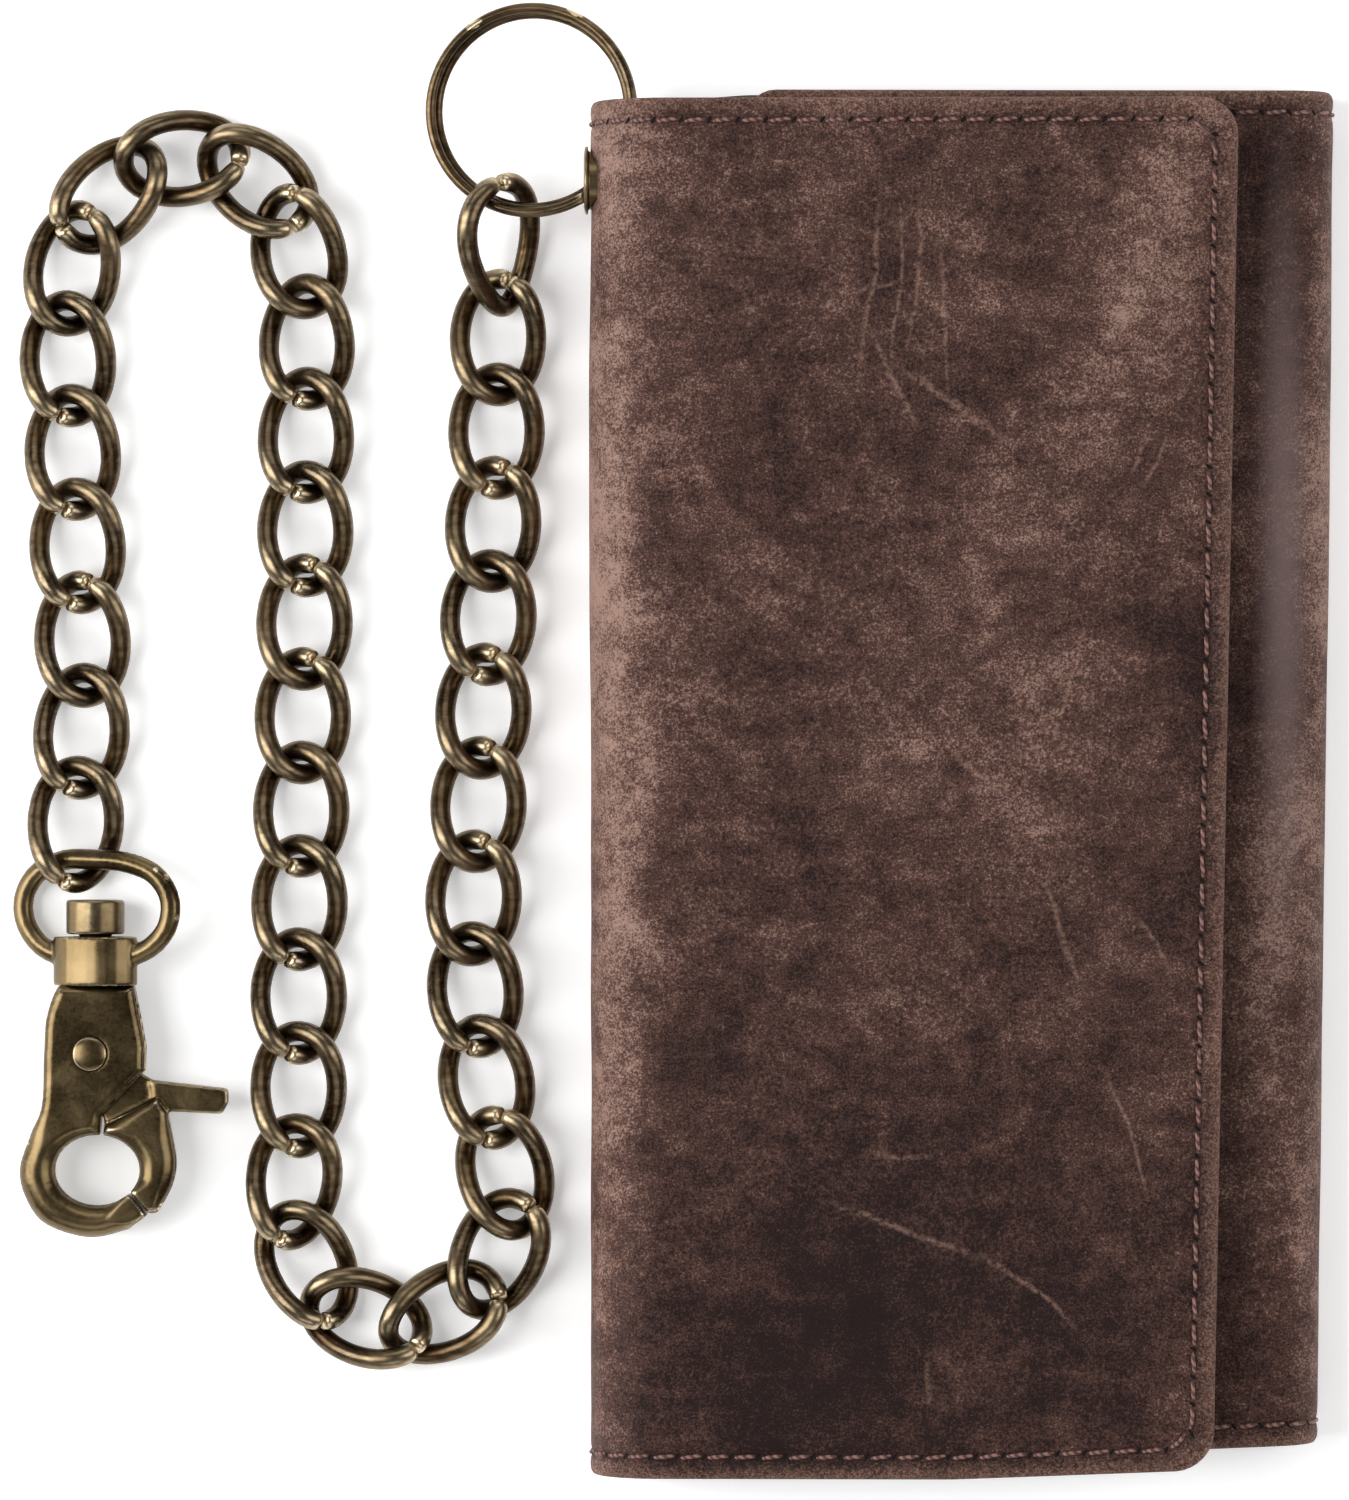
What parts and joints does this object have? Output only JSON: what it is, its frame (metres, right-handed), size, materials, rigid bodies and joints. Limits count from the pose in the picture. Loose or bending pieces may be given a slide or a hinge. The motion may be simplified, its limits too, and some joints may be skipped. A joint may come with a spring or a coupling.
{
  "type": "chain wallet",
  "caption": "Long trifold leather wallet with a split ring, a curb chain and a swivelling trigger snap hook.",
  "frame": {"origin": "centre of the wallet's back where it rests on a table", "axes": "+Z out of the table, +Y towards the wallet's top edge, +X towards the fold of the inner panel; the chain lies on the -X side"},
  "size_m": [0.1836, 0.2028, 0.02],
  "materials": {
    "outer_leather": "distressed waxed dark brown",
    "lining_leather": "smooth matt dark brown",
    "zip_fabric": "woven tape",
    "antique_brass": "antiqued and worn",
    "spring_steel": "bright wire"
  },
  "bodies": {
    "wallet": {"back_panel": "outer_leather", "back_lining": "lining_leather", "eyelet_barrel": "antique_brass", "eyelet_washer": "antique_brass"},
    "flap": {"front_flap": "outer_leather", "flap_lining": "lining_leather", "card_pocket_1": "lining_leather", "card_pocket_2": "lining_leather", "card_pocket_3": "lining_leather", "upper_snap_socket": "antique_brass", "lower_snap_socket": "antique_brass"},
    "inner": {"inner_panel": "outer_leather", "inner_lining": "lining_leather", "zip_tape": "zip_fabric", "upper_snap_stud": "antique_brass", "lower_snap_stud": "antique_brass"},
    "slider": {"zip_slider": "antique_brass"},
    "ring": {"key_ring": "antique_brass"},
    "joining_link": {"joining_link": "antique_brass"},
    "chain_link_01": {"chain_link_01": "antique_brass"},
    "chain_link_02": {"chain_link_02": "antique_brass"},
    "chain_link_03": {"chain_link_03": "antique_brass"},
    "chain_link_04": {"chain_link_04": "antique_brass"},
    "chain_link_05": {"chain_link_05": "antique_brass"},
    "chain_link_06": {"chain_link_06": "antique_brass"},
    "chain_link_07": {"chain_link_07": "antique_brass"},
    "chain_link_08": {"chain_link_08": "antique_brass"},
    "chain_link_09": {"chain_link_09": "antique_brass"},
    "chain_link_10": {"chain_link_10": "antique_brass"},
    "chain_link_11": {"chain_link_11": "antique_brass"},
    "chain_link_12": {"chain_link_12": "antique_brass"},
    "chain_link_13": {"chain_link_13": "antique_brass"},
    "chain_link_14": {"chain_link_14": "antique_brass"},
    "chain_link_15": {"chain_link_15": "antique_brass"},
    "chain_link_16": {"chain_link_16": "antique_brass"},
    "chain_link_17": {"chain_link_17": "antique_brass"},
    "chain_link_18": {"chain_link_18": "antique_brass"},
    "chain_link_19": {"chain_link_19": "antique_brass"},
    "chain_link_20": {"chain_link_20": "antique_brass"},
    "chain_link_21": {"chain_link_21": "antique_brass"},
    "chain_link_22": {"chain_link_22": "antique_brass"},
    "chain_link_23": {"chain_link_23": "antique_brass"},
    "chain_link_24": {"chain_link_24": "antique_brass"},
    "chain_link_25": {"chain_link_25": "antique_brass"},
    "chain_link_26": {"chain_link_26": "antique_brass"},
    "chain_link_27": {"chain_link_27": "antique_brass"},
    "chain_link_28": {"chain_link_28": "antique_brass"},
    "chain_link_29": {"chain_link_29": "antique_brass"},
    "chain_link_30": {"chain_link_30": "antique_brass"},
    "chain_link_31": {"chain_link_31": "antique_brass"},
    "chain_link_32": {"chain_link_32": "antique_brass"},
    "chain_link_33": {"chain_link_33": "antique_brass"},
    "chain_link_34": {"chain_link_34": "antique_brass"},
    "chain_link_35": {"chain_link_35": "antique_brass"},
    "loop": {"swivel_loop": "antique_brass"},
    "hook": {"hook_body": "antique_brass", "swivel_post": "antique_brass", "trigger_pin": "antique_brass", "trigger_spring": "spring_steel"},
    "trigger": {"hook_trigger": "antique_brass"}
  },
  "joints": [
    {"name": "flap_fold", "type": "hinge", "parent": "wallet", "child": "flap", "pos_m": [-0.0495, 0, 0.0159], "axis": [0, -1, 0], "range_deg": [0, 160]},
    {"name": "inner_panel_fold", "type": "hinge", "parent": "wallet", "child": "inner", "pos_m": [0.0505, 0, 0.0096], "axis": [0.0116, 0.9999, 0], "range_deg": [0, 56]},
    {"name": "inner_zip_slide", "type": "slide", "parent": "inner", "child": "slider", "axis": [0, 1, 0], "range_m": [0, 0.15]},
    {"name": "hook_swivel", "type": "hinge", "parent": "loop", "child": "hook", "pos_m": [-0.1197, -0.0255, 0.0047], "axis": [0, -1, 0], "continuous": true},
    {"name": "hook_trigger_open", "type": "hinge", "parent": "hook", "child": "trigger", "pos_m": [-0.1203, -0.0383, 0.0047], "axis": [0, 0, 1], "range_deg": [0, 25], "stiffness_Nm_per_rad": 0.02, "springref_deg": -11.46, "deforming": ["trigger_spring"]},
    {"name": "key_ring_swing", "type": "hinge", "parent": "wallet", "child": "ring", "pos_m": [-0.0511, 0.0825, 0.01], "axis": [1, 0, 0], "range_deg": [-15, 0]},
    {"name": "joining_link_swing", "type": "hinge", "parent": "ring", "child": "joining_link", "pos_m": [-0.06224, 0.07894, 0.0087], "axis": [0.9718, -0.2357, 0], "range_deg": [-15, 0]},
    {"name": "link_01_swing", "type": "hinge", "parent": "joining_link", "child": "chain_link_01", "pos_m": [-0.06366, 0.06742, 0.00479], "axis": [0.9997, -0.0248, 0], "range_deg": [-15, 0]},
    {"name": "link_02_swing", "type": "hinge", "parent": "chain_link_01", "child": "chain_link_02", "pos_m": [-0.06393, 0.0546, 0.00348], "axis": [-0.9998, 0.0175, 0], "range_deg": [-20, 0]},
    {"name": "link_03_swing", "type": "hinge", "parent": "chain_link_02", "child": "chain_link_03", "pos_m": [-0.06427, 0.04163, 0.00348], "axis": [-0.9994, 0.0349, 0], "range_deg": [-20, 0]},
    {"name": "link_04_swing", "type": "hinge", "parent": "chain_link_03", "child": "chain_link_04", "pos_m": [-0.06483, 0.02867, 0.00348], "axis": [0.9986, -0.0523, 0], "range_deg": [-20, 0]},
    {"name": "link_05_swing", "type": "hinge", "parent": "chain_link_04", "child": "chain_link_05", "pos_m": [-0.06551, 0.01569, 0.00348], "axis": [0.9986, -0.0523, 0], "range_deg": [-20, 0]},
    {"name": "link_06_swing", "type": "hinge", "parent": "chain_link_05", "child": "chain_link_06", "pos_m": [-0.06619, 0.00271, 0.00348], "axis": [-0.9986, 0.0523, 0], "range_deg": [-20, 0]},
    {"name": "link_07_swing", "type": "hinge", "parent": "chain_link_06", "child": "chain_link_07", "pos_m": [-0.06687, -0.01027, 0.00348], "axis": [-0.9986, 0.0523, 0], "range_deg": [-20, 0]},
    {"name": "link_08_swing", "type": "hinge", "parent": "chain_link_07", "child": "chain_link_08", "pos_m": [-0.0671, -0.02314, 0.00348], "axis": [0.9998, 0.0175, 0], "range_deg": [-20, 0]},
    {"name": "link_09_swing", "type": "hinge", "parent": "chain_link_08", "child": "chain_link_09", "pos_m": [-0.06621, -0.03592, 0.00348], "axis": [0.9925, 0.1219, 0], "range_deg": [-20, 0]},
    {"name": "link_10_swing", "type": "hinge", "parent": "chain_link_09", "child": "chain_link_10", "pos_m": [-0.06414, -0.04861, 0.00354], "axis": [-0.9799, -0.1994, 0], "range_deg": [-20, 0]},
    {"name": "link_11_swing", "type": "hinge", "parent": "chain_link_10", "child": "chain_link_11", "pos_m": [-0.06331, -0.0606, 0.00367], "axis": [-0.9969, 0.0785, 0], "range_deg": [-20, 0]},
    {"name": "link_12_swing", "type": "hinge", "parent": "chain_link_11", "child": "chain_link_12", "pos_m": [-0.06759, -0.0704, 0.0038], "axis": [0.7314, -0.682, 0], "range_deg": [-15, 0]},
    {"name": "link_13_swing", "type": "hinge", "parent": "chain_link_12", "child": "chain_link_13", "pos_m": [-0.07681, -0.07484, 0.00383], "axis": [0.061, -0.9981, 0], "range_deg": [-15, 0]},
    {"name": "link_14_swing", "type": "hinge", "parent": "chain_link_13", "child": "chain_link_14", "pos_m": [-0.08623, -0.07148, 0.0039], "axis": [0.6756, 0.7373, 0], "range_deg": [-15, 0]},
    {"name": "link_15_swing", "type": "hinge", "parent": "chain_link_14", "child": "chain_link_15", "pos_m": [-0.09123, -0.062, 0.00403], "axis": [0.9863, 0.165, 0], "range_deg": [-20, 0]},
    {"name": "link_16_swing", "type": "hinge", "parent": "chain_link_15", "child": "chain_link_16", "pos_m": [-0.09186, -0.0498, 0.00393], "axis": [-0.9986, 0.0523, 0], "range_deg": [-20, 0]},
    {"name": "link_17_swing", "type": "hinge", "parent": "chain_link_16", "child": "chain_link_17", "pos_m": [-0.09152, -0.03689, 0.0037], "axis": [-1, 0, 0], "range_deg": [-20, 0]},
    {"name": "link_18_swing", "type": "hinge", "parent": "chain_link_17", "child": "chain_link_18", "pos_m": [-0.09147, -0.02391, 0.00354], "axis": [1, -0.0087, 0], "range_deg": [-20, 0]},
    {"name": "link_19_swing", "type": "hinge", "parent": "chain_link_18", "child": "chain_link_19", "pos_m": [-0.0913, -0.01092, 0.00348], "axis": [0.9998, -0.0175, 0], "range_deg": [-20, 0]},
    {"name": "link_20_swing", "type": "hinge", "parent": "chain_link_19", "child": "chain_link_20", "pos_m": [-0.09107, 0.00208, 0.00348], "axis": [-0.9998, 0.0175, 0], "range_deg": [-20, 0]},
    {"name": "link_21_swing", "type": "hinge", "parent": "chain_link_20", "child": "chain_link_21", "pos_m": [-0.09084, 0.01508, 0.00348], "axis": [-0.9998, 0.0175, 0], "range_deg": [-20, 0]},
    {"name": "link_22_swing", "type": "hinge", "parent": "chain_link_21", "child": "chain_link_22", "pos_m": [-0.09067, 0.02806, 0.00354], "axis": [1, -0.0087, 0], "range_deg": [-20, 0]},
    {"name": "link_23_swing", "type": "hinge", "parent": "chain_link_22", "child": "chain_link_23", "pos_m": [-0.09056, 0.04104, 0.00367], "axis": [1, -0.0087, 0], "range_deg": [-20, 0]},
    {"name": "link_24_swing", "type": "hinge", "parent": "chain_link_23", "child": "chain_link_24", "pos_m": [-0.09045, 0.05401, 0.00377], "axis": [-1, 0.0087, 0], "range_deg": [-20, 0]},
    {"name": "link_25_swing", "type": "hinge", "parent": "chain_link_24", "child": "chain_link_25", "pos_m": [-0.091, 0.06679, 0.00383], "axis": [-0.9954, -0.0958, 0], "range_deg": [-20, 0]},
    {"name": "link_26_swing", "type": "hinge", "parent": "chain_link_25", "child": "chain_link_26", "pos_m": [-0.09447, 0.07796, 0.00383], "axis": [0.8616, 0.5075, 0], "range_deg": [-20, 0]},
    {"name": "link_27_swing", "type": "hinge", "parent": "chain_link_26", "child": "chain_link_27", "pos_m": [-0.10253, 0.08442, 0.0037], "axis": [0.2924, 0.9563, 0], "range_deg": [-15, 0]},
    {"name": "link_28_swing", "type": "hinge", "parent": "chain_link_27", "child": "chain_link_28", "pos_m": [-0.11278, 0.08354, 0.00361], "axis": [0.4384, -0.8988, 0], "range_deg": [-15, 0]},
    {"name": "link_29_swing", "type": "hinge", "parent": "chain_link_28", "child": "chain_link_29", "pos_m": [-0.1204, 0.07592, 0.00354], "axis": [0.8949, -0.4462, 0], "range_deg": [-20, 0]},
    {"name": "link_30_swing", "type": "hinge", "parent": "chain_link_29", "child": "chain_link_30", "pos_m": [-0.12331, 0.06446, 0.00348], "axis": [-0.9986, 0.0523, 0], "range_deg": [-20, 0]},
    {"name": "link_31_swing", "type": "hinge", "parent": "chain_link_30", "child": "chain_link_31", "pos_m": [-0.1233, 0.05167, 0.00348], "axis": [-0.9986, -0.0523, 0], "range_deg": [-20, 0]},
    {"name": "link_32_swing", "type": "hinge", "parent": "chain_link_31", "child": "chain_link_32", "pos_m": [-0.12262, 0.03868, 0.00348], "axis": [0.9986, 0.0523, 0], "range_deg": [-20, 0]},
    {"name": "link_33_swing", "type": "hinge", "parent": "chain_link_32", "child": "chain_link_33", "pos_m": [-0.12194, 0.0257, 0.00348], "axis": [0.9986, 0.0523, 0], "range_deg": [-20, 0]},
    {"name": "link_34_swing", "type": "hinge", "parent": "chain_link_33", "child": "chain_link_34", "pos_m": [-0.12165, 0.01281, 0.00348], "axis": [-1, 0.0087, 0], "range_deg": [-20, 0]},
    {"name": "link_35_swing", "type": "hinge", "parent": "chain_link_34", "child": "chain_link_35", "pos_m": [-0.1221, -0.00006, 0.0037], "axis": [-0.9981, 0.061, 0], "range_deg": [-20, 0]},
    {"name": "swivel_loop_swing", "type": "hinge", "parent": "chain_link_35", "child": "loop", "pos_m": [-0.1225, -0.01302, 0.00421], "axis": [1, 0, 0], "range_deg": [-6, 0]}
  ],
  "couplings": [
    {"joint": "inner_panel_fold", "follows": "flap_fold", "ratio": 0.35}
  ]
}
